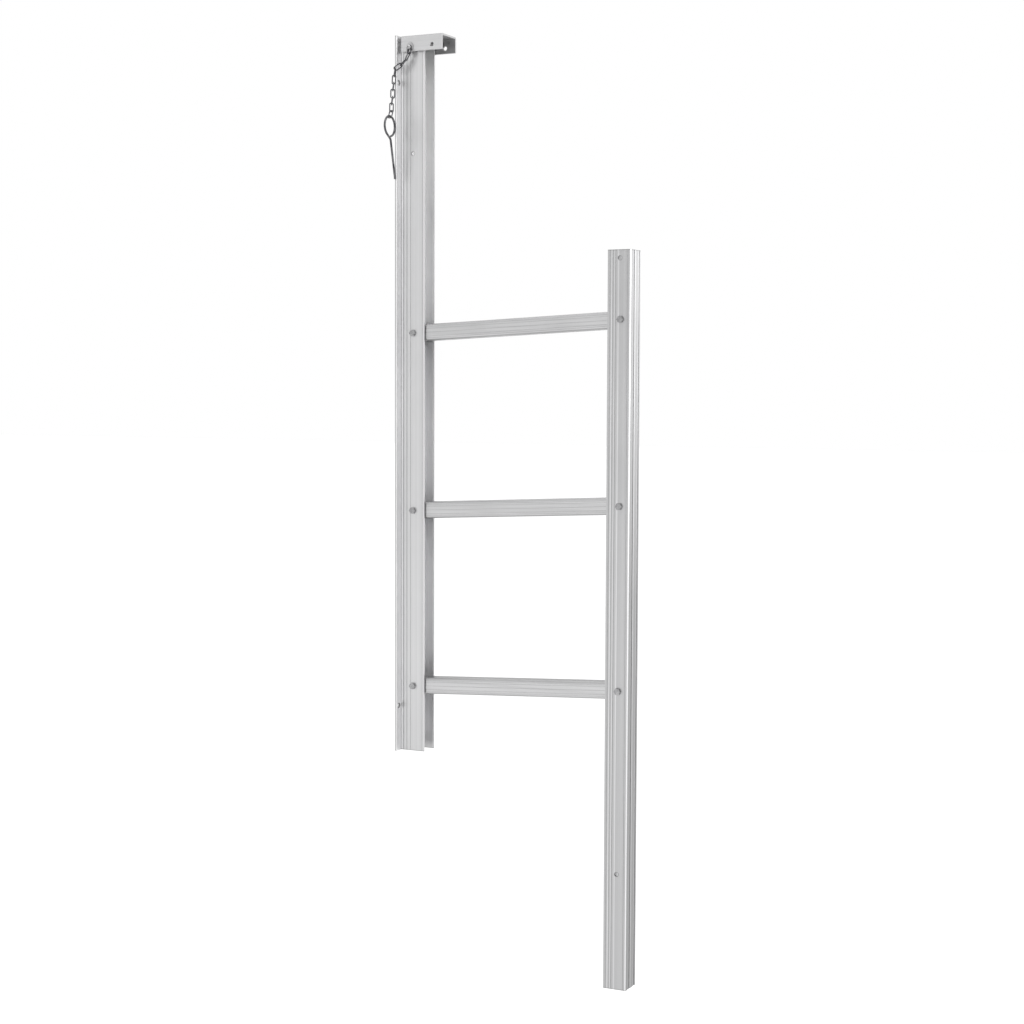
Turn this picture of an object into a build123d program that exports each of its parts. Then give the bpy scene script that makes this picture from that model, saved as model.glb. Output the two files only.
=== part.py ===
"""Folding pole ladder for boarding a boat, built piece by piece.

A fixed rail screws to the boat by its two lips. Three rungs turn on pivot bolts in the
fixed rail and carry the moving rail. The moving rail swings up until it closes over the
fixed rail and makes one slim pole, which a wire pin locks under the top bracket.

Millimetres. X runs from the mounting face to the moving rail, Y from front to back and
Z up. The origin is the centre of the fixed rail's mounting face.
"""

from build123d import *
import math
import os

# --- Rails: shared drilling --------------------------------------------------------------
FIXED_LENGTH = 1206.0
MOVING_LENGTH = 1202.0
PIVOT_PITCH = 300.0
SHORT_END = 111.2            # from the short end of a rail to its first pivot
PIVOT_COUNT = 3
SPARE_HOLE_DIAMETER = 6.5    # the fourth hole of the drilling pattern, left empty
WALL = 2.5
GROOVE_WIDTH = 1.4           # the fine lines drawn along the rails' faces
GROOVE_DEPTH = 0.4

# --- Fixed rail: a channel with a mounting lip at the front and at the back ---------------
FIXED_WIDTH = 48.0           # along X
FIXED_DEPTH = 37.0           # along Y
BASE_THICKNESS = 3.5
LIP_REACH = 15.5             # from the channel's face to the lip's edge
FIXED_GAUGE = 26.3           # pivot line, from the mounting face
SCREW_HOLE_DIAMETER = 8.4
SCREW_LINE = 26.0            # screw line, from mid depth
SCREW_SPAN = 1052.0          # between the upper and the lower screw

# --- Moving rail: a channel that closes over the fixed one --------------------------------
MOVING_WIDTH = 40.0
MOVING_DEPTH = 43.0
MOVING_GAUGE = 17.5          # pivot line, from the outer face
MOVING_CORNER = 3.0
LOCK_HOLE_DROP = 13.5        # lock hole, from the top of the moving rail
LOCK_HOLE_OFFSET = -1.2      # from the pivot line
LOCK_HOLE_DIAMETER = 7.0

# --- Rungs --------------------------------------------------------------------------------
RUNG_CENTRES = 382.0         # between the two pivots of a rung
RUNG_SIZE = 28.0
RUNG_WALL = 2.0
RUNG_CORNER = 4.0
OPEN_ANGLE = 2.75            # rise of the open rungs, degrees
FOLD_ANGLE = 81.2            # from open to closed, degrees
STOP_GAP = 0.15
FIXED_END_RADIUS = 22.4
MOVING_END_RADIUS = 14.6

# --- Pivots -------------------------------------------------------------------------------
BOLT_DIAMETER = 6.0
BOLT_HOLE_DIAMETER = 6.4
HEAD_FLATS = 10.0
HEAD_HEIGHT = 4.0
NUT_HEIGHT = 6.0
THREAD_SHOW = 1.5
WASHER_DIAMETER = 12.0
WASHER_THICKNESS = 1.2
SLEEVE_DIAMETER = 10.0
SLEEVE_BORE = 6.2
BUSH_FLANGE_DIAMETER = 20.0
BUSH_SPIGOT_DIAMETER = 13.0
HINGE_CLEARANCE = 0.05       # radial, sleeve in bush
OPEN_PIVOT_CLEARANCE = 0.3   # radial, at the two pivots that close the linkage
SIDE_CLEARANCE = 0.1
PRESS_CLEARANCE = 0.02

# --- Top bracket --------------------------------------------------------------------------
BRACKET_START = 7.0
BRACKET_END = 84.5
BRACKET_SHEET = 3.0
BRACKET_DEPTH = 50.0
BRACKET_HEIGHT = 26.3
BRACKET_BOLT_X = 24.0
BRACKET_BOLT_DROP = 19.8     # from the top of the fixed rail
BRACKET_BOLT_DIAMETER = 4.0
BRACKET_HOLE_DIAMETER = 4.4
BRACKET_SLEEVE_DIAMETER = 8.0
BRACKET_SPACER_DIAMETER = 12.0
BRACKET_WASHER_DIAMETER = 9.0
BRACKET_WASHER_THICKNESS = 0.8
BRACKET_NUT_FLATS = 7.0
BRACKET_NUT_HEIGHT = 5.0
BUTTON_DIAMETER = 7.6
BUTTON_HEIGHT = 2.2

# --- Chain and locking pin ----------------------------------------------------------------
PLATE_WIDTH = 12.0           # the oblong plate behind the chain's first link
PLATE_LENGTH = 17.2
PLATE_SHEET = 2.0
LINK_ROOM = 3.0              # from the plate to the bolt's head
LINK_WIRE = 2.0
LINK_INNER_LENGTH = 12.3
LINK_OUTER_WIDTH = 8.4
LINK_BEND = 2.2              # bend radius of the wire's centre line
PIN_WIRE = 3.6
PIN_RING_RADIUS = 16.6       # to the wire's centre line
PIN_SHOULDER = 11.0          # straight, between the ring and the leg's bend
PIN_BEND = 6.0
PIN_LEG = 57.9
PIN_LEG_LEAN = 13.2          # degrees from plumb
PIN_TOE = 6.0
PIN_TOE_LEAN = 5.0
PIN_LEG_START = -122.0       # where the leg's bend meets the ring, degrees from +Y
PIN_FREE_END = -76.0         # where the ring's wire ends
RING_GAP = 0.4               # from the last link to the ring

# --- Worked out from the above -------------------------------------------------------------
RAIL_TOP = FIXED_LENGTH / 2
FIRST_PIVOT_Z = -RAIL_TOP + SHORT_END
RUNG_RUN = RUNG_CENTRES * math.cos(math.radians(OPEN_ANGLE))
RUNG_RISE = RUNG_CENTRES * math.sin(math.radians(OPEN_ANGLE))
CLOSED_ANGLE = OPEN_ANGLE + FOLD_ANGLE
CLOSED_RUN = RUNG_CENTRES * math.cos(math.radians(CLOSED_ANGLE))
CLOSED_RISE = RUNG_CENTRES * math.sin(math.radians(CLOSED_ANGLE))
MOVING_PIVOT_X = FIXED_GAUGE + RUNG_RUN
MOVING_TOP = FIRST_PIVOT_Z + RUNG_RISE + (PIVOT_COUNT - 1) * PIVOT_PITCH + SHORT_END
MOVING_FREE_EDGE = MOVING_PIVOT_X + MOVING_GAUGE - MOVING_WIDTH
MOVING_OUTER_FACE = MOVING_PIVOT_X + MOVING_GAUGE
CLOSED_TOP = MOVING_TOP + CLOSED_RISE - RUNG_RISE
LEVELS = ("bottom", "middle", "top")


def save(name, shape):
    """Write one piece under its own name."""
    shape.label = name
    export_step(shape, f"parts/{name}.step")


def bar_y(x, z, diameter, y_from, y_to):
    """A round bar or cutter along Y."""
    length = y_to - y_from
    bar = Cylinder(diameter / 2, length, align=(Align.CENTER, Align.CENTER, Align.MIN))
    return Pos(x, y_from, z) * Rot(-90, 0, 0) * bar


def hexagon_y(x, z, flats, y_from, y_to):
    """A hexagonal bar along Y, sized across its flats."""
    blank = extrude(RegularPolygon(flats / 2, 6, major_radius=False), y_to - y_from)
    return Pos(x, y_from, z) * Rot(-90, 0, 0) * blank


def ring_y(x, z, outer, bore, y_from, y_to):
    """A washer, spacer or sleeve along Y."""
    return bar_y(x, z, outer, y_from, y_to) - bar_y(x, z, bore, y_from - 1, y_to + 1)


def both_faces(depth):
    """The front face and the back face of a rail, with the direction that faces out."""
    return ((-depth / 2, -1), (depth / 2, 1))


# --- Rails ----------------------------------------------------------------------------------
def face_grooves(x_places, depth, z_from, length):
    """Fine drawn grooves along the front and the back face of a rail."""
    cutters = Part()
    for x in x_places:
        for y_face, _ in both_faces(depth):
            groove = Rectangle(GROOVE_WIDTH, GROOVE_DEPTH * 2)
            cutters += Pos(x, y_face, z_from) * extrude(groove, length)
    return cutters


def make_fixed_rail():
    """The channel opens towards the rungs, its web carries the two lips, and its top is
    cut down by the bracket's sheet so that the bracket ends level with the lips."""
    inner = FIXED_DEPTH - 2 * WALL
    base_depth = FIXED_DEPTH + 2 * LIP_REACH
    base = Pos(BASE_THICKNESS / 2, 0) * Rectangle(BASE_THICKNESS, base_depth)
    base = fillet(base.vertices(), 0.8)
    box = Pos(FIXED_WIDTH / 2, 0) * Rectangle(FIXED_WIDTH, FIXED_DEPTH)
    hollow_width = FIXED_WIDTH - BASE_THICKNESS + 1
    hollow = Pos(BASE_THICKNESS + hollow_width / 2, 0) * Rectangle(hollow_width, inner)
    profile = base + box - hollow
    rail = Pos(0, 0, -RAIL_TOP) * extrude(profile, FIXED_LENGTH)
    rail -= Pos(BRACKET_START - BRACKET_SHEET, 0, RAIL_TOP) * Box(
        FIXED_WIDTH,
        FIXED_DEPTH + 1,
        2 * BRACKET_SHEET,
        align=(Align.MIN, Align.CENTER, Align.CENTER),
    )

    groove_places = (8.5, 15.0, 22.0, FIXED_WIDTH - 3.0)
    rail -= face_grooves(groove_places, FIXED_DEPTH, -RAIL_TOP, FIXED_LENGTH)
    for step in range(PIVOT_COUNT):
        z = FIRST_PIVOT_Z + step * PIVOT_PITCH
        rail -= bar_y(FIXED_GAUGE, z, BOLT_HOLE_DIAMETER, -FIXED_DEPTH, FIXED_DEPTH)
    spare_z = FIRST_PIVOT_Z + PIVOT_COUNT * PIVOT_PITCH
    rail -= bar_y(FIXED_GAUGE, spare_z, SPARE_HOLE_DIAMETER, -FIXED_DEPTH, FIXED_DEPTH)
    bolt_z = RAIL_TOP - BRACKET_BOLT_DROP
    rail -= bar_y(BRACKET_BOLT_X, bolt_z, BRACKET_HOLE_DIAMETER, -FIXED_DEPTH, FIXED_DEPTH)
    for side in (-1, 1):
        for end in (-1, 1):
            hole = Rot(0, 90, 0) * Cylinder(SCREW_HOLE_DIAMETER / 2, 4 * BASE_THICKNESS)
            rail -= Pos(0, side * SCREW_LINE, end * SCREW_SPAN / 2) * hole
    return rail


def make_moving_rail():
    """The deeper channel that opens towards the fixed rail and closes over its edges."""
    bottom = MOVING_TOP - MOVING_LENGTH
    outline = Pos(MOVING_OUTER_FACE - MOVING_WIDTH / 2, 0) * Rectangle(MOVING_WIDTH, MOVING_DEPTH)
    outer_corners = outline.vertices().group_by(Axis.X)[-1]
    outline = fillet(outer_corners, MOVING_CORNER)
    hollow_width = MOVING_WIDTH - WALL + 1
    hollow_centre = MOVING_FREE_EDGE - 1 + hollow_width / 2
    hollow = Pos(hollow_centre, 0) * Rectangle(hollow_width, MOVING_DEPTH - 2 * WALL)
    profile = outline - hollow

    flute_width = 9.0
    flute_depth = 0.6
    for y in (-10.0, 10.0):
        profile -= Pos(MOVING_OUTER_FACE, y) * Rectangle(flute_depth * 2, flute_width)
    rail = Pos(0, 0, bottom) * extrude(profile, MOVING_LENGTH)

    groove_places = [MOVING_FREE_EDGE + x for x in (4.5, 8.7, 14.0)]
    groove_places.append(MOVING_OUTER_FACE - 5.0)
    rail -= face_grooves(groove_places, MOVING_DEPTH, bottom, MOVING_LENGTH)
    for step in range(PIVOT_COUNT):
        z = MOVING_TOP - SHORT_END - step * PIVOT_PITCH
        rail -= bar_y(MOVING_PIVOT_X, z, BOLT_HOLE_DIAMETER, -MOVING_DEPTH, MOVING_DEPTH)
    spare_z = MOVING_TOP - SHORT_END - PIVOT_COUNT * PIVOT_PITCH
    rail -= bar_y(MOVING_PIVOT_X, spare_z, SPARE_HOLE_DIAMETER, -MOVING_DEPTH, MOVING_DEPTH)
    lock_z = MOVING_TOP - LOCK_HOLE_DROP
    lock_x = MOVING_PIVOT_X + LOCK_HOLE_OFFSET
    rail -= bar_y(lock_x, lock_z, LOCK_HOLE_DIAMETER, -MOVING_DEPTH, MOVING_DEPTH)
    return rail


# --- Rungs ----------------------------------------------------------------------------------
def rung_profile():
    """Square tube with rounded corners, ribbed on top and below and lined front and back."""
    outline = RectangleRounded(RUNG_SIZE, RUNG_SIZE, RUNG_CORNER)
    inner = RUNG_SIZE - 2 * RUNG_WALL
    outline -= RectangleRounded(inner, inner, RUNG_CORNER - RUNG_WALL)
    half = RUNG_SIZE / 2
    for place in (-8.0, -4.0, 0.0, 4.0, 8.0):
        for side in (-1, 1):
            outline -= Pos(place, side * half) * Rectangle(1.6, 1.2)
    for place in (-9.5, -6.5, 0.0, 6.5, 9.5):
        for side in (-1, 1):
            outline -= Pos(side * half, place) * Rectangle(0.8, 1.2)
    return outline


def rung_ends(z):
    """The side view of a rung's cut ends: square where it stops, round where it turns."""
    left_stop = BASE_THICKNESS + STOP_GAP
    right_stop = MOVING_OUTER_FACE - WALL - STOP_GAP
    start = (FIXED_GAUGE, z)
    end = (MOVING_PIVOT_X, z + RUNG_RISE)
    reach = 2 * RUNG_SIZE
    body = Pos((start[0] + end[0]) / 2, (start[1] + end[1]) / 2) * Rectangle(RUNG_RUN, 3 * reach)
    lower_left = Pos((left_stop + start[0]) / 2, start[1] - reach / 2) * Rectangle(
        start[0] - left_stop, reach
    )
    upper_right = Pos((right_stop + end[0]) / 2, end[1] + reach / 2) * Rectangle(
        right_stop - end[0], reach
    )
    turns = Pos(*start) * Circle(FIXED_END_RADIUS) + Pos(*end) * Circle(MOVING_END_RADIUS)
    return body + lower_left + upper_right + turns


def make_rung(z):
    """One open rung, with the holes for its four pivot bushes."""
    overrun = 40.0
    tube = extrude(rung_profile(), RUNG_CENTRES + 2 * overrun)
    tube = Pos(-overrun, 0, 0) * Rot(0, 90, 0) * Rot(0, 0, 90) * tube
    tube = Pos(FIXED_GAUGE, 0, z) * Rot(0, -OPEN_ANGLE, 0) * tube
    side_view = Plane.XZ * rung_ends(z)
    rung = tube & extrude(side_view, RUNG_SIZE, both=True)
    hole = BUSH_SPIGOT_DIAMETER + 2 * PRESS_CLEARANCE
    rung -= bar_y(FIXED_GAUGE, z, hole, -RUNG_SIZE, RUNG_SIZE)
    rung -= bar_y(MOVING_PIVOT_X, z + RUNG_RISE, hole, -RUNG_SIZE, RUNG_SIZE)
    return rung


def make_bush_pair(x, z, channel_inner, clearance):
    """Two flanged nylon bushes, pressed into a rung's front and back wall."""
    flange = channel_inner / 2 - SIDE_CLEARANCE
    face = RUNG_SIZE / 2
    bore = SLEEVE_DIAMETER + 2 * clearance
    bushes = []
    for side in (-1, 1):
        y_wall, y_face, y_flange = side * (face - RUNG_WALL), side * face, side * flange
        bush = bar_y(x, z, BUSH_FLANGE_DIAMETER, min(y_face, y_flange), max(y_face, y_flange))
        bush += bar_y(x, z, BUSH_SPIGOT_DIAMETER, min(y_wall, y_face), max(y_wall, y_face))
        bush -= bar_y(x, z, bore, -channel_inner, channel_inner)
        bushes.append(bush)
    return Compound(children=bushes)


# --- Fasteners ------------------------------------------------------------------------------
def make_hex_bolt(x, z, front, tip):
    """Hexagon head on the front face, plain shank to the back."""
    head = hexagon_y(x, z, HEAD_FLATS, front - HEAD_HEIGHT, front)
    rim = Pos(x, front - HEAD_HEIGHT, z) * Rot(-90, 0, 0) * Cone(
        HEAD_FLATS / 2 + 0.1,
        HEAD_FLATS / 2 + 0.1 + 2 * HEAD_HEIGHT,
        HEAD_HEIGHT,
        align=(Align.CENTER, Align.CENTER, Align.MIN),
    )
    return (head & rim) + bar_y(x, z, BOLT_DIAMETER, front, tip)


def make_button_bolt(x, z, front, tip):
    """Low domed head with a hexagon socket, plain shank to the back."""
    dome_radius = (BUTTON_DIAMETER**2 / 4 + BUTTON_HEIGHT**2) / (2 * BUTTON_HEIGHT)
    top = front - BUTTON_HEIGHT
    ball = Pos(x, top + dome_radius, z) * Sphere(dome_radius)
    head = ball & bar_y(x, z, BUTTON_DIAMETER * 2, top, front)
    head -= hexagon_y(x, z, 2.5, top - 1, top + 1.2)
    return head + bar_y(x, z, BRACKET_BOLT_DIAMETER, front, tip)


def make_lock_nut(x, z, seat, flats, height, thread):
    """Hexagon nut with the round collar that holds its nylon ring."""
    hexagon_height = height * 0.7
    nut = hexagon_y(x, z, flats, seat, seat + hexagon_height)
    nut += bar_y(x, z, flats - 0.6, seat + hexagon_height, seat + height)
    return nut - bar_y(x, z, thread, seat - 1, seat + height + 1)


def save_pivot(name, x, z, rail_depth):
    """The bolt, washer, lock nut and clamped sleeve of one pivot."""
    face = rail_depth / 2
    nut_seat = face + WASHER_THICKNESS
    tip = nut_seat + NUT_HEIGHT + THREAD_SHOW
    inner = face - WALL
    save(f"pivot_bolt_{name}", make_hex_bolt(x, z, -face, tip))
    save(f"pivot_washer_{name}", ring_y(x, z, WASHER_DIAMETER, BOLT_HOLE_DIAMETER, face, nut_seat))
    nut = make_lock_nut(x, z, nut_seat, HEAD_FLATS, NUT_HEIGHT, BOLT_DIAMETER)
    save(f"pivot_nut_{name}", nut)
    save(f"pivot_sleeve_{name}", ring_y(x, z, SLEEVE_DIAMETER, SLEEVE_BORE, -inner, inner))


def save_bracket_fixing(x, z):
    """The through bolt of the top bracket, with its spacers, sleeve, washer and nut."""
    face = BRACKET_DEPTH / 2
    rail_face = FIXED_DEPTH / 2
    nut_seat = face + BRACKET_WASHER_THICKNESS
    tip = nut_seat + BRACKET_NUT_HEIGHT + THREAD_SHOW
    head_seat = -face - PLATE_SHEET - LINK_ROOM
    bore = BRACKET_HOLE_DIAMETER
    nut = make_lock_nut(
        x, z, nut_seat, BRACKET_NUT_FLATS, BRACKET_NUT_HEIGHT, BRACKET_BOLT_DIAMETER
    )
    sleeve_end = rail_face - WALL
    spacers = []
    for low, high in ((BRACKET_SHEET - face, -rail_face), (rail_face, face - BRACKET_SHEET)):
        spacers.append(ring_y(x, z, BRACKET_SPACER_DIAMETER, bore, low, high))
    save("bracket_bolt", make_button_bolt(x, z, head_seat, tip))
    save("bracket_nut", nut)
    save("bracket_washer", ring_y(x, z, BRACKET_WASHER_DIAMETER, bore, face, nut_seat))
    save("bracket_sleeve", ring_y(x, z, BRACKET_SLEEVE_DIAMETER, bore, -sleeve_end, sleeve_end))
    save("bracket_spacers", Compound(children=spacers))


# --- Top bracket ----------------------------------------------------------------------------
def make_bracket():
    """Sheet channel over the fixed rail's top, which the closed moving rail enters."""
    length = BRACKET_END - BRACKET_START
    web_under = RAIL_TOP - BRACKET_SHEET
    inner = BRACKET_DEPTH - 2 * BRACKET_SHEET
    profile = Pos(0, RAIL_TOP - BRACKET_HEIGHT / 2) * Rectangle(BRACKET_DEPTH, BRACKET_HEIGHT)
    profile = fillet(profile.vertices().group_by(Axis.Y)[-1], 2.5)
    profile -= Pos(0, web_under - BRACKET_HEIGHT / 2) * Rectangle(inner, BRACKET_HEIGHT)
    bracket = Pos(BRACKET_START, 0, 0) * extrude(Plane.YZ * profile, length)
    lock_x = FIXED_GAUGE + CLOSED_RUN + LOCK_HOLE_OFFSET
    lock_z = CLOSED_TOP - LOCK_HOLE_DROP
    bracket -= bar_y(lock_x, lock_z, LOCK_HOLE_DIAMETER, -BRACKET_DEPTH, BRACKET_DEPTH)
    bolt_z = RAIL_TOP - BRACKET_BOLT_DROP
    hole = BRACKET_HOLE_DIAMETER
    return bracket - bar_y(BRACKET_BOLT_X, bolt_z, hole, -BRACKET_DEPTH, BRACKET_DEPTH)


def make_chain_plate():
    """Oblong plate on the bracket's front face, behind the chain's first link."""
    bolt_z = RAIL_TOP - BRACKET_BOLT_DROP
    half_straight = (PLATE_LENGTH - PLATE_WIDTH) / 2
    plate = Part()
    for end in (-1, 1):
        z = bolt_z + end * half_straight
        plate += bar_y(BRACKET_BOLT_X, z, PLATE_WIDTH, -PLATE_SHEET, 0)
    plate += Pos(BRACKET_BOLT_X, -PLATE_SHEET / 2, bolt_z) * Box(
        PLATE_WIDTH, PLATE_SHEET, 2 * half_straight
    )
    plate -= bar_y(BRACKET_BOLT_X, bolt_z, BRACKET_HOLE_DIAMETER, -2 * PLATE_SHEET, 1)
    return Pos(0, -BRACKET_DEPTH / 2, 0) * plate


# --- Chain ----------------------------------------------------------------------------------
# Where the links meet: from the bracket bolt, in a slack drape, to the front lip's edge,
# then down to the pin. The chain leans out a little and holds the pin's ring and toe just
# clear of the lip's edge.
DRAPED_MEETINGS = (
    (24.0, -28.3, 585.3),
    (24.9, -29.5, 573.2),
    (19.9, -31.0, 562.4),
    (11.7, -33.8, 554.2),
    (3.0, -37.8, 547.2),
)
HANGING_MEETINGS = (
    (3.0, -37.8, 547.2),
    (2.1, -39.9, 535.4),
    (1.9, -40.5, 523.4),
    (1.8, -43.6, 511.8),
    (1.8, -44.2, 499.8),
    (1.7, -47.6, 488.3),
    (1.7, -48.2, 476.3),
    (1.7, -53.8, 465.4),
)
DRAPED_SIDES = ((1, 0, 0.07), (0, 1, 0), (-0.6, 0.72, 0.35), (0.44, 0.42, -0.79))
HANGING_TURNS = (114.0, 0.0, 114.0, 30.0, 114.0, 54.0, 0.0)   # degrees from +X
HINGE_LINK = 2               # the hanging links below this one swing


def link_between(start, end, side):
    """One chain link from meeting point to meeting point, its width lying along side."""
    along = Vector(*end) - Vector(*start)
    normal = along.cross(Vector(*side))
    place = Plane(origin=(Vector(*start) + Vector(*end)) / 2, x_dir=along, z_dir=normal)
    outline = RectangleRounded(
        LINK_INNER_LENGTH + LINK_WIRE, LINK_OUTER_WIDTH - LINK_WIRE, LINK_BEND
    )
    path = outline.face().outer_wire()
    weld = path.edges().sort_by(Axis.Y)[-1]
    profile = Plane(origin=weld @ 0.5, z_dir=weld % 0.5) * Circle(LINK_WIRE / 2)
    return place * sweep(profile, path=path)


def make_links(meetings, sides):
    """The links from each meeting point to the next."""
    links = []
    for number, side in enumerate(sides):
        links.append(link_between(meetings[number], meetings[number + 1], side))
    return links


def flat_side(turn):
    """A level direction, turned from +X about the vertical."""
    return (math.cos(math.radians(turn)), math.sin(math.radians(turn)), 0)


# --- Locking pin ----------------------------------------------------------------------------
def make_locking_pin():
    """One bent wire: a finger ring, a long leg below it and a turned toe."""
    hang = Vector(*HANGING_MEETINGS[-1])
    centre = Vector(hang.Y, hang.Z + RING_GAP + PIN_WIRE / 2 - PIN_RING_RADIUS)

    def on_circle(middle, radius, angle):
        turned = math.radians(angle)
        return middle + Vector(math.cos(turned), math.sin(turned)) * radius

    leg_meets = on_circle(centre, PIN_RING_RADIUS, PIN_LEG_START)
    free_end = on_circle(centre, PIN_RING_RADIUS, PIN_FREE_END)
    leaving = on_circle(Vector(0, 0), 1, PIN_LEG_START + 90)
    shoulder_end = leg_meets + leaving * PIN_SHOULDER
    bend_centre = on_circle(shoulder_end, PIN_BEND, PIN_LEG_START)
    leg_top = on_circle(bend_centre, PIN_BEND, PIN_LEG_LEAN)
    leg_foot = leg_top + on_circle(Vector(0, 0), PIN_LEG, PIN_LEG_LEAN - 90)
    down = (leg_foot - leg_top).normalized()
    toe_middle = (PIN_LEG_LEAN + PIN_TOE_LEAN) / 2
    toe = on_circle(leg_foot, PIN_TOE, toe_middle - 90)
    far_side = on_circle(centre, PIN_RING_RADIUS, (PIN_LEG_START + PIN_FREE_END) / 2 + 180)
    path = Wire(
        [
            Edge.make_tangent_arc(leg_foot, down, toe),
            Edge.make_line(leg_foot, leg_top),
            Edge.make_tangent_arc(leg_top, down * -1, shoulder_end),
            Edge.make_line(shoulder_end, leg_meets),
            Edge.make_three_point_arc(leg_meets, far_side, free_end),
        ]
    )
    tip_direction = on_circle(Vector(0, 0), 1, PIN_TOE_LEAN - 90)
    profile = Plane(origin=toe, z_dir=tip_direction) * Circle(PIN_WIRE / 2)
    wire = sweep(profile, path=path)
    return Pos(hang.X, 0, 0) * (Plane.YZ * wire)


# --- The whole ladder -------------------------------------------------------------------------
def main():
    os.makedirs("parts", exist_ok=True)
    save("fixed_rail", make_fixed_rail())
    save("moving_rail", make_moving_rail())
    for step, level in enumerate(LEVELS):
        z = FIRST_PIVOT_Z + step * PIVOT_PITCH
        moving_z = z + RUNG_RISE
        save(f"rung_{level}", make_rung(z))
        save(
            f"rung_bushes_fixed_{level}",
            make_bush_pair(FIXED_GAUGE, z, FIXED_DEPTH - 2 * WALL, HINGE_CLEARANCE),
        )
        clearance = HINGE_CLEARANCE if level == "middle" else OPEN_PIVOT_CLEARANCE
        save(
            f"rung_bushes_moving_{level}",
            make_bush_pair(MOVING_PIVOT_X, moving_z, MOVING_DEPTH - 2 * WALL, clearance),
        )
        save_pivot(f"fixed_{level}", FIXED_GAUGE, z, FIXED_DEPTH)
        save_pivot(f"moving_{level}", MOVING_PIVOT_X, moving_z, MOVING_DEPTH)

    save("top_bracket", make_bracket())
    save("chain_plate", make_chain_plate())
    save_bracket_fixing(BRACKET_BOLT_X, RAIL_TOP - BRACKET_BOLT_DROP)
    draped = make_links(DRAPED_MEETINGS, DRAPED_SIDES)
    hanging = make_links(HANGING_MEETINGS, [flat_side(turn) for turn in HANGING_TURNS])
    save("chain_draped_links", Compound(children=draped + hanging[:HINGE_LINK]))
    save("chain_hanging_links", Compound(children=hanging[HINGE_LINK:]))
    save("locking_pin", make_locking_pin())


main()
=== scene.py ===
"""The look of the folding boat ladder: drawn aluminium, steel fittings and nylon bushes."""

import math

import bmesh
import bpy
from mathutils import Matrix, Vector


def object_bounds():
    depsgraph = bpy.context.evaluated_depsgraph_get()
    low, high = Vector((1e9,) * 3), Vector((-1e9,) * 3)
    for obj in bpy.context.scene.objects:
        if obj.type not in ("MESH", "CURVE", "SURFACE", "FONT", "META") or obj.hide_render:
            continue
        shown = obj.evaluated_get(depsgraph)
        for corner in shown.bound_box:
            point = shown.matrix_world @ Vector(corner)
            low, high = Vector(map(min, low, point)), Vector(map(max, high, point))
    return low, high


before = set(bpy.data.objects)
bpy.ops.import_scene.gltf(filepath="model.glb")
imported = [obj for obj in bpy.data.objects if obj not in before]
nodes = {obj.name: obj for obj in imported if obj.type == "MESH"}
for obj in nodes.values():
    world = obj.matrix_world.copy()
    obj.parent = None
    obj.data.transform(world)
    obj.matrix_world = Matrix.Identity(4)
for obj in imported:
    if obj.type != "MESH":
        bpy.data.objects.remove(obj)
cad_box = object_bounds()
scene = bpy.context.scene
X, Y, Z = range(3)

# --- Camera ---------------------------------------------------------------------------------
CAMERA_AZIMUTH = 26.405
CAMERA_ELEVATION = 3.627
CAMERA_ROLL = 0.215
CAMERA_DISTANCE = 3.2115
CAMERA_TARGET = Vector((0.21426, -0.0185, -0.18846))
CAMERA_LENS = 68.24


def add_camera():
    azimuth, elevation = math.radians(CAMERA_AZIMUTH), math.radians(CAMERA_ELEVATION)
    level = math.cos(elevation)
    back = Vector((math.sin(azimuth) * level, -math.cos(azimuth) * level, math.sin(elevation)))
    right = Vector((math.cos(azimuth), math.sin(azimuth), 0))
    up = back.cross(right)
    roll = math.radians(CAMERA_ROLL)
    right, up = (
        right * math.cos(roll) + up * math.sin(roll),
        up * math.cos(roll) - right * math.sin(roll),
    )
    data = bpy.data.cameras.new("camera")
    data.lens = CAMERA_LENS
    data.sensor_width = 36
    data.clip_end = 100
    camera = bpy.data.objects.new("camera", data)
    scene.collection.objects.link(camera)
    place = Matrix((right, up, back)).transposed().to_4x4()
    place.translation = CAMERA_TARGET + back * CAMERA_DISTANCE
    camera.matrix_world = place
    scene.camera = camera


# --- Node helpers ---------------------------------------------------------------------------
RANGE_SOCKETS = ("From Min", "From Max", "To Min", "To Max")


class Tree:
    """A material's nodes, made one after another and linked by name."""

    def __init__(self, name):
        self.material = bpy.data.materials.new(name)
        self.material.use_nodes = True
        self.nodes = self.material.node_tree.nodes
        self.links = self.material.node_tree.links
        self.nodes.clear()
        self.shader = self.nodes.new("ShaderNodeBsdfPrincipled")
        output = self.nodes.new("ShaderNodeOutputMaterial")
        self.links.new(self.shader.outputs["BSDF"], output.inputs["Surface"])

    def add(self, kind, inputs=None, **settings):
        node = self.nodes.new("ShaderNode" + kind)
        for key, value in settings.items():
            setattr(node, key, value)
        for key, value in (inputs or {}).items():
            self.put(node.inputs[key], value)
        return node

    def put(self, socket, value):
        if isinstance(value, bpy.types.NodeSocket):
            self.links.new(value, socket)
        else:
            socket.default_value = value

    def math(self, operation, a, b=0.0):
        node = self.add("Math", operation=operation)
        self.put(node.inputs[0], a)
        self.put(node.inputs[1], b)
        return node.outputs[0]

    def ramp(self, value, low, high, to_low, to_high):
        node = self.add("MapRange", {"Value": value})
        for key, number in zip(RANGE_SOCKETS, (low, high, to_low, to_high)):
            node.inputs[key].default_value = number
        return node.outputs["Result"]

    def tint(self, factor, dark, light):
        node = self.add("Mix", data_type="RGBA")
        self.put(node.inputs["Factor"], factor)
        node.inputs["A"].default_value = (*dark, 1)
        node.inputs["B"].default_value = (*light, 1)
        return node.outputs["Result"]


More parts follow.
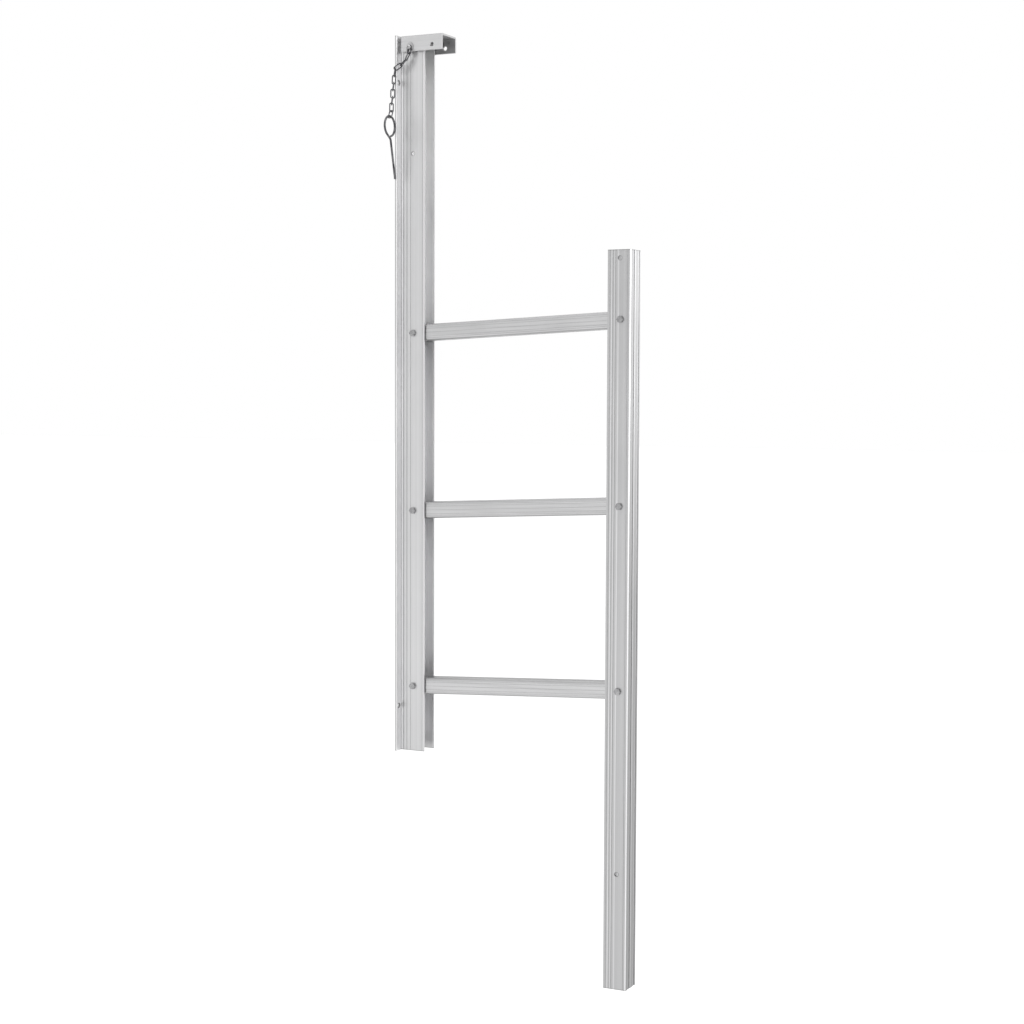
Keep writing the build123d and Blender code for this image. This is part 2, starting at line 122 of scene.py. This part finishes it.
def place_of(tree, scale, turn=(0, 0, 0)):
    """The piece's own coordinates in metres, stretched for a texture."""
    coords = tree.add("TexCoord")
    mapping = tree.add("Mapping", {"Vector": coords.outputs["Object"]})
    mapping.inputs["Scale"].default_value = scale
    mapping.inputs["Rotation"].default_value = turn
    return mapping.outputs["Vector"]


def grain(tree, vector, detail=4.0, roughness=0.6):
    node = tree.add("TexNoise", {"Vector": vector})
    node.inputs["Scale"].default_value = 1.0
    node.inputs["Detail"].default_value = detail
    node.inputs["Roughness"].default_value = roughness
    return node.outputs["Fac"]


def split_of(tree, output):
    """The three numbers of the piece's own position or normal."""
    coords = tree.add("TexCoord")
    split = tree.add("SeparateXYZ", {"Vector": coords.outputs[output]})
    return split.outputs


def painted_glint_and_groove_lines(tree, place, lines, soft):
    """Painted ridge highlights and painted groove shade, each given by its place in metres and its
    gain.
    """
    low = min(centre for centre, _ in lines) - 2 * soft
    high = max(centre for centre, _ in lines) + 2 * soft
    ramp = tree.add("ValToRGB", {"Fac": tree.ramp(place, low, high, 0.0, 1.0)})
    stops = ramp.color_ramp.elements
    stops[0].color = stops[1].color = (0.5, 0.5, 0.5, 1)
    for centre, gain in lines:
        for offset, level in ((-soft, 0.5), (0.0, gain * 0.5), (soft, 0.5)):
            stop = stops.new((centre + offset - low) / (high - low))
            stop.color = (level, level, level, 1)
    return tree.math("MULTIPLY", ramp.outputs["Color"], 2.0)


def only_where(tree, mask, factor):
    """The factor where the mask is one, and one elsewhere."""
    extra = tree.math("SUBTRACT", factor, 1.0)
    return tree.math("ADD", tree.math("MULTIPLY", mask, extra), 1.0)


def painted_hollow_shade(tree, reach, darkest):
    """Painted shade in grooves and against neighbouring pieces, from ambient occlusion."""
    shade = tree.add("AmbientOcclusion", samples=6)
    shade.inputs["Distance"].default_value = reach
    return tree.ramp(shade.outputs["AO"], 0.45, 0.95, darkest, 1.0)


# Painted shade in hollows: how far it reaches, and its darkest tone gain.
SHADE_REACH = 0.0016
SHADE_DARKEST = 0.64


def drawn_aluminium(name, dark, light, gloss, along, turn=(0, 0, 0), painted_tone_gains=()):
    """Mill-finish aluminium: die lines along the bar, cloudy oxide, a few fine scratches, painted
    shade in hollows.
    """
    tree = Tree(name)
    lines_scale = [1400.0, 1400.0, 1400.0]
    lines_scale[along] = 1.2
    broad_scale = [260.0, 260.0, 260.0]
    broad_scale[along] = 0.6
    lines = grain(tree, place_of(tree, lines_scale, turn), 3.0, 0.7)
    broad = grain(tree, place_of(tree, broad_scale, turn), 2.0, 0.5)
    cloud = grain(tree, place_of(tree, (9.0, 9.0, 5.0)), 5.0, 0.6)
    scuffs = grain(tree, place_of(tree, (60.0, 900.0, 700.0), (0.5, 0.3, 0.9)), 2.0, 0.5)
    scuff_mask = tree.ramp(scuffs, 0.68, 0.74, 0.0, 1.0)
    mixed = tree.math("ADD", tree.math("MULTIPLY", broad, 0.35), tree.math("MULTIPLY", lines, 0.35))
    mixed = tree.math("ADD", mixed, tree.math("MULTIPLY", cloud, 0.30))
    colour = tree.tint(tree.ramp(mixed, 0.36, 0.64, 0.0, 1.0), dark, light)
    factor = painted_hollow_shade(tree, SHADE_REACH, SHADE_DARKEST)
    for detail in painted_tone_gains:
        factor = tree.math("MULTIPLY", factor, detail(tree))
    shaded = tree.add("VectorMath", {"Vector": colour, "Scale": factor}, operation="SCALE")
    tree.put(tree.shader.inputs["Base Color"], shaded.outputs["Vector"])
    rough = tree.ramp(cloud, 0.35, 0.65, gloss - 0.05, gloss + 0.06)
    rough = tree.math("ADD", rough, tree.math("MULTIPLY", scuff_mask, 0.08))
    tree.put(tree.shader.inputs["Roughness"], rough)
    tree.shader.inputs["Metallic"].default_value = 1.0
    height = tree.math("ADD", tree.math("MULTIPLY", lines, 0.5), tree.math("MULTIPLY", broad, 1.0))
    height = tree.math("SUBTRACT", height, tree.math("MULTIPLY", scuff_mask, 0.2))
    bump = tree.add("Bump", {"Height": height})
    bump.inputs["Strength"].default_value = 0.25
    bump.inputs["Distance"].default_value = 0.0002
    tree.put(tree.shader.inputs["Normal"], bump.outputs["Normal"])
    return tree.material


def facing(tree, axis):
    """One on the faces that look along the axis, either way."""
    return tree.ramp(tree.math("ABSOLUTE", split_of(tree, "Normal")[axis]), 0.6, 0.8, 0.0, 1.0)


def painted_ridge_glints_and_groove_shade(places, axis, face_axis, soft=0.0011):
    """Painted ridge highlights and painted groove shade across one pair of faces."""

    def factor(tree):
        lines = painted_glint_and_groove_lines(tree, split_of(tree, "Object")[axis], places, soft)
        return only_where(tree, facing(tree, face_axis), lines)

    return factor


def inner_faces(tree, half_depth):
    """One within the channel's depth and zero beyond it."""
    depth = tree.math("ABSOLUTE", split_of(tree, "Object")[Y])
    return tree.ramp(depth, half_depth + 0.0002, half_depth + 0.0008, 1.0, 0.0)


def painted_light_and_shade_inside(half_depth, gain):
    """A painted tone gain on the inner faces of a channel: above one it is painted light, below one
    painted shade.
    """

    def factor(tree):
        return only_where(tree, inner_faces(tree, half_depth), gain)

    return factor


def painted_foot_shade_inside(half_depth, bottom, top, gain):
    """Painted shade on the inner faces of a channel: a tone gain that grows towards its open foot.
    """

    def factor(tree):
        painted_foot_shade = tree.ramp(split_of(tree, "Object")[Z], bottom, top, gain, 1.0)
        return only_where(tree, inner_faces(tree, half_depth), painted_foot_shade)

    return factor


def painted_shade_on_mounting_face(gain):
    """Painted shade on the back of the fixed rail's web: a tone gain, set against the painted light
    on the channel's inner faces and lip faces.
    """

    def factor(tree):
        return tree.ramp(split_of(tree, "Object")[X], 0.0002, 0.0005, gain, 1.0)

    return factor


def painted_end_shade_lines(bottom, top, gain):
    """A thin dark line round each end of a rail: painted shade at the cut edge."""

    def factor(tree):
        height = split_of(tree, "Object")[Z]
        low = tree.ramp(height, bottom + 0.0006, bottom + 0.0016, gain, 1.0)
        high = tree.ramp(height, top - 0.0016, top - 0.0006, 1.0, gain)
        return tree.math("MULTIPLY", low, high)

    return factor


def painted_light_on_lips(half_depth, gain):
    """Painted light on the lip faces beside a channel: a tone gain on those that look sideways."""

    def factor(tree):
        depth = tree.math("ABSOLUTE", split_of(tree, "Object")[Y])
        lip = tree.ramp(depth, half_depth, half_depth + 0.001, 0.0, 1.0)
        return only_where(tree, tree.math("MULTIPLY", lip, facing(tree, X)), gain)

    return factor


def hole_walls(places, across, radius, gain):
    """Shade on the walls of empty holes, each given by its place across and its height."""

    def factor(tree):
        position = split_of(tree, "Object")
        shade = 1.0
        for place, height in places:
            sideways = tree.math("POWER", tree.math("SUBTRACT", position[across], place), 2.0)
            upwards = tree.math("POWER", tree.math("SUBTRACT", position[Z], height), 2.0)
            distance = tree.math("SQRT", tree.math("ADD", sideways, upwards))
            rim = tree.ramp(distance, radius + 0.0003, radius + 0.0008, gain, 1.0)
            shade = tree.math("MULTIPLY", rim, shade)
        return shade

    return factor


def painted_corner_highlights(gain):
    """Painted highlights on the rounded upright corners, as a tone gain."""

    def factor(tree):
        across = tree.ramp(tree.math("ABSOLUTE", split_of(tree, "Normal")[X]), 0.2, 0.4, 0.0, 1.0)
        along = tree.ramp(tree.math("ABSOLUTE", split_of(tree, "Normal")[Y]), 0.2, 0.4, 0.0, 1.0)
        return only_where(tree, tree.math("MULTIPLY", across, along), gain)

    return factor


def painted_shade_above_below(gain):
    """Painted shade on the rounded corners above and below, a little less on the flat faces above
    and below.
    """

    def factor(tree):
        upward = tree.math("ABSOLUTE", split_of(tree, "Normal")[Z])
        corner = tree.ramp(upward, 0.15, 0.5, 1.0, gain)
        return tree.math("ADD", corner, tree.ramp(upward, 0.9, 0.98, 0.0, 0.2))

    return factor


def painted_light_and_shade_by_height(axis, top, bottom, top_gain, bottom_gain):
    """Painted light and shade that change with height on the faces that look along the axis, as a
    tone gain.
    """

    def factor(tree):
        painted_gradient = tree.ramp(split_of(tree, "Object")[Z], bottom, top, bottom_gain, top_gain)
        return only_where(tree, facing(tree, axis), painted_gradient)

    return factor


def steel(name, dark, light, gloss):
    """Stainless steel: fine turning marks, a soft stain here and there."""
    tree = Tree(name)
    fine = grain(tree, place_of(tree, (2500.0, 900.0, 2500.0)), 3.0, 0.6)
    stain = grain(tree, place_of(tree, (160.0, 160.0, 160.0)), 4.0, 0.6)
    stained = tree.tint(tree.ramp(stain, 0.35, 0.65, 0, 1), dark, light)
    tree.put(tree.shader.inputs["Base Color"], stained)
    tree.put(tree.shader.inputs["Roughness"], tree.ramp(stain, 0.3, 0.7, gloss, gloss + 0.1))
    tree.shader.inputs["Metallic"].default_value = 1.0
    bump = tree.add("Bump", {"Height": fine})
    bump.inputs["Strength"].default_value = 0.15
    bump.inputs["Distance"].default_value = 0.0001
    tree.put(tree.shader.inputs["Normal"], bump.outputs["Normal"])
    return tree.material


def nylon(name):
    """Natural nylon, slightly cloudy, with a fine moulded texture."""
    tree = Tree(name)
    cloud = grain(tree, place_of(tree, (220.0, 220.0, 220.0)), 3.0, 0.5)
    fine = grain(tree, place_of(tree, (3000.0, 3000.0, 3000.0)), 2.0, 0.5)
    tree.put(
        tree.shader.inputs["Base Color"],
        tree.tint(tree.ramp(cloud, 0.35, 0.65, 0, 1), (0.66, 0.66, 0.62), (0.80, 0.80, 0.77)),
    )
    tree.put(tree.shader.inputs["Roughness"], tree.ramp(cloud, 0.3, 0.7, 0.38, 0.5))
    tree.shader.inputs["Subsurface Weight"].default_value = 0.1
    tree.shader.inputs["Subsurface Radius"].default_value = (0.002, 0.002, 0.002)
    bump = tree.add("Bump", {"Height": fine})
    bump.inputs["Strength"].default_value = 0.2
    bump.inputs["Distance"].default_value = 0.0001
    tree.put(tree.shader.inputs["Normal"], bump.outputs["Normal"])
    return tree.material


# --- Finishes -------------------------------------------------------------------------------
# The tone gains below were fitted to one view under one light. They stand in for that
# light as much as for the metal, and where several meet the base colour goes above one.
OPEN_ANGLE = math.radians(2.75)
FIXED_BOTTOM, FIXED_TOP = -0.603, 0.603
MOVING_BOTTOM, MOVING_TOP = -0.9643, 0.2377
FIXED_INNER = 0.016           # from mid depth to the inner faces of the fixed rail
MOVING_INNER = 0.019
BRACKET_INNER = 0.0222
LIP_START = 0.0187            # from mid depth to the first bare part of a lip
FREE_EDGE = 0.3854            # the moving rail's edges towards the fixed rail
# Painted ridge highlights and painted groove shade: the place of each across the face, and its
# gain.
FIXED_PAINTED_LINES = (
    (0.0012, 0.72), (0.0054, 1.55), (0.0085, 0.82), (0.0118, 1.08), (0.0150, 0.88),
    (0.0190, 1.05), (0.0220, 0.94), (0.0432, 0.90), (0.0460, 1.24),
)
LIP_PAINTED_LINES = ((-0.0333, 1.75), (-0.0312, 0.92), (-0.0265, 1.06), (-0.0200, 0.85))
MOVING_PAINTED_LINES = (
    (FREE_EDGE + 0.0030, 0.92), (FREE_EDGE + 0.0073, 1.60), (FREE_EDGE + 0.0098, 0.84),
    (FREE_EDGE + 0.0118, 1.42), (FREE_EDGE + 0.0145, 0.90), (FREE_EDGE + 0.0186, 1.36),
    (FREE_EDGE + 0.0212, 0.95), (FREE_EDGE + 0.0375, 0.84),
)
SIDE_PAINTED_LINES = ((-0.0180, 0.82), (-0.0030, 1.60), (0.0050, 0.90), (0.0120, 1.50), (0.0180, 1.12))
# Empty holes: the place across and the height of each.
LIP_HOLES = ((-0.026, -0.526), (-0.026, 0.526), (0.026, -0.526), (0.026, 0.526))
LIP_HOLE_RADIUS = 0.0042
FIXED_SPARE_HOLE = ((0.0263, 0.4082),)
SPARE_HOLE_RADIUS = 0.00325
MOVING_HOLES = ((0.4067, 0.2242), (0.4079, -0.7735))
LOCK_HOLE_RADIUS = 0.0035
finishes = {
    "fixed": drawn_aluminium(
        "fixed_rail_finish", (0.58, 0.58, 0.585), (0.67, 0.67, 0.675), 0.36, Z,
        painted_tone_gains=(
            painted_ridge_glints_and_groove_shade(FIXED_PAINTED_LINES, X, Y),
            painted_ridge_glints_and_groove_shade(LIP_PAINTED_LINES, Y, X, 0.0014),
            painted_light_and_shade_inside(FIXED_INNER, 1.56),
            painted_light_on_lips(LIP_START, 1.45),
            painted_light_and_shade_by_height(Y, 0.60, 0.10, 1.12, 1.0),
            painted_light_and_shade_by_height(Y, -0.45, FIXED_BOTTOM, 1.0, 0.92),
            hole_walls(LIP_HOLES, Y, LIP_HOLE_RADIUS, 0.35),
            hole_walls(FIXED_SPARE_HOLE, X, SPARE_HOLE_RADIUS, 0.5),
            painted_foot_shade_inside(FIXED_INNER, FIXED_BOTTOM + 0.001, FIXED_BOTTOM + 0.031, 0.55),
            painted_end_shade_lines(FIXED_BOTTOM, FIXED_TOP, 0.6),
            painted_shade_on_mounting_face(0.62),
        ),
    ),
    "moving": drawn_aluminium(
        "moving_rail_finish", (0.47, 0.47, 0.475), (0.57, 0.57, 0.575), 0.34, Z,
        painted_tone_gains=(
            painted_ridge_glints_and_groove_shade(MOVING_PAINTED_LINES, X, Y, 0.0013),
            painted_ridge_glints_and_groove_shade(SIDE_PAINTED_LINES, Y, X, 0.0024),
            painted_light_and_shade_inside(MOVING_INNER, 0.9),
            painted_corner_highlights(1.75),
            painted_light_and_shade_by_height(X, 0.24, -0.32, 1.62, 0.78),
            painted_light_and_shade_by_height(X, -0.32, -0.962, 1.0, 0.76),
            painted_light_and_shade_by_height(Y, -0.2, -0.962, 1.0, 0.86),
            hole_walls(MOVING_HOLES, X, LOCK_HOLE_RADIUS, 0.5),
            painted_end_shade_lines(MOVING_BOTTOM, MOVING_TOP, 0.6),
        ),
    ),
    "rung": drawn_aluminium(
        "rung_finish", (0.52, 0.52, 0.525), (0.64, 0.64, 0.645), 0.36, X, (0, OPEN_ANGLE, 0),
        painted_tone_gains=(painted_shade_above_below(0.6),),
    ),
    "bracket": drawn_aluminium(
        "bracket_finish", (0.56, 0.56, 0.565), (0.66, 0.66, 0.665), 0.38, X,
        painted_tone_gains=(painted_shade_above_below(0.5), painted_light_and_shade_inside(BRACKET_INNER, 0.95)),
    ),
    "bolt": steel("bolt_finish", (0.28, 0.28, 0.285), (0.42, 0.42, 0.425), 0.22),
    "plate": steel("plate_finish", (0.48, 0.48, 0.485), (0.62, 0.62, 0.625), 0.3),
    # The chain and the locking pin get a base colour far darker than bare steel, a painted dark
    # reflection of their surroundings.
    "chain": steel("chain_finish", (0.05, 0.05, 0.055), (0.16, 0.16, 0.165), 0.12),
    "nylon": nylon("nylon_finish"),
}


def finish_of(name):
    if name == "fixed_rail":
        return finishes["fixed"]
    if name == "moving_rail":
        return finishes["moving"]
    if name.startswith("rung_bushes"):
        return finishes["nylon"]
    if name.startswith("rung_"):
        return finishes["rung"]
    if name == "top_bracket":
        return finishes["bracket"]
    if name == "chain_plate":
        return finishes["plate"]
    if name.startswith("chain") or name == "locking_pin":
        return finishes["chain"]
    return finishes["bolt"]


for name, node in nodes.items():
    node.data.materials.clear()
    node.data.materials.append(finish_of(name))


# --- Stage ----------------------------------------------------------------------------------
FLOOR_DROP = 0.4              # low enough to keep its shade out of view
FLOOR_Z = cad_box[0][Z] - FLOOR_DROP
FRONT_GLOW = 0.875
BACK_GLOW = 1.0
OVERHEAD_GAIN = 1.35
SIDE_GAIN = 2.2


def add_floor():
    mesh = bpy.data.meshes.new("floor")
    form = bmesh.new()
    bmesh.ops.create_grid(form, x_segments=8, y_segments=8, size=40)
    form.to_mesh(mesh)
    form.free()
    floor = bpy.data.objects.new("floor", mesh)
    floor.location = (0, 0, FLOOR_Z)
    scene.collection.objects.link(floor)
    tree = Tree("floor_finish")
    soft = grain(tree, place_of(tree, (0.4, 0.4, 0.4)), 2.0, 0.5)
    pale = tree.tint(soft, (0.90, 0.90, 0.90), (0.92, 0.92, 0.92))
    tree.put(tree.shader.inputs["Base Color"], pale)
    tree.shader.inputs["Roughness"].default_value = 0.9
    tree.shader.inputs["Specular IOR Level"].default_value = 0.1
    mesh.materials.append(tree.material)


def add_light(name, place, target, size, power):
    data = bpy.data.lights.new(name, "AREA")
    data.shape = "RECTANGLE"
    data.size, data.size_y = size
    data.energy = power
    light = bpy.data.objects.new(name, data)
    scene.collection.objects.link(light)
    light.location = place
    aim = Vector(target) - Vector(place)
    light.rotation_euler = aim.to_track_quat("-Z", "Y").to_euler()
    light.visible_camera = False


def add_world():
    """Soft white all round: darker in front, brighter overhead and from the moving rail's side."""
    world = bpy.data.worlds.new("studio")
    scene.world = world
    world.use_nodes = True
    tree = world.node_tree
    tree.nodes.clear()

    def spread(socket, low, high, to_low, to_high):
        node = tree.nodes.new("ShaderNodeMapRange")
        node.interpolation_type = "SMOOTHSTEP"
        tree.links.new(socket, node.inputs["Value"])
        for key, number in zip(RANGE_SOCKETS, (low, high, to_low, to_high)):
            node.inputs[key].default_value = number
        return node.outputs["Result"]

    def glow(strength):
        node = tree.nodes.new("ShaderNodeBackground")
        node.inputs["Color"].default_value = (1, 1, 1, 1)
        if isinstance(strength, float):
            node.inputs["Strength"].default_value = strength
        else:
            tree.links.new(strength, node.inputs["Strength"])
        return node.outputs[0]

    coords = tree.nodes.new("ShaderNodeTexCoord")
    split = tree.nodes.new("ShaderNodeSeparateXYZ")
    tree.links.new(coords.outputs["Generated"], split.inputs[0])
    product = tree.nodes.new("ShaderNodeMath")
    product.operation = "MULTIPLY"
    tree.links.new(spread(split.outputs["Y"], -0.95, 0.6, FRONT_GLOW, BACK_GLOW), product.inputs[0])
    tree.links.new(spread(split.outputs["Z"], 0.1, 0.9, 1.0, OVERHEAD_GAIN), product.inputs[1])
    wide = tree.nodes.new("ShaderNodeMath")
    wide.operation = "MULTIPLY"
    tree.links.new(product.outputs[0], wide.inputs[0])
    tree.links.new(spread(split.outputs["X"], 0.72, 0.92, 1.0, SIDE_GAIN), wide.inputs[1])
    path = tree.nodes.new("ShaderNodeLightPath")
    mix = tree.nodes.new("ShaderNodeMixShader")
    tree.links.new(path.outputs["Is Camera Ray"], mix.inputs[0])
    tree.links.new(glow(wide.outputs[0]), mix.inputs[1])
    tree.links.new(glow(1.0), mix.inputs[2])
    output = tree.nodes.new("ShaderNodeOutputWorld")
    tree.links.new(mix.outputs[0], output.inputs["Surface"])


add_camera()
add_world()
add_floor()
add_light("top_softbox", (0.2, -0.6, 3.0), (0.2, 0, -0.2), (4.0, 3.0), 25)
scene.view_settings.view_transform = "Standard"
scene.view_settings.look = "None"
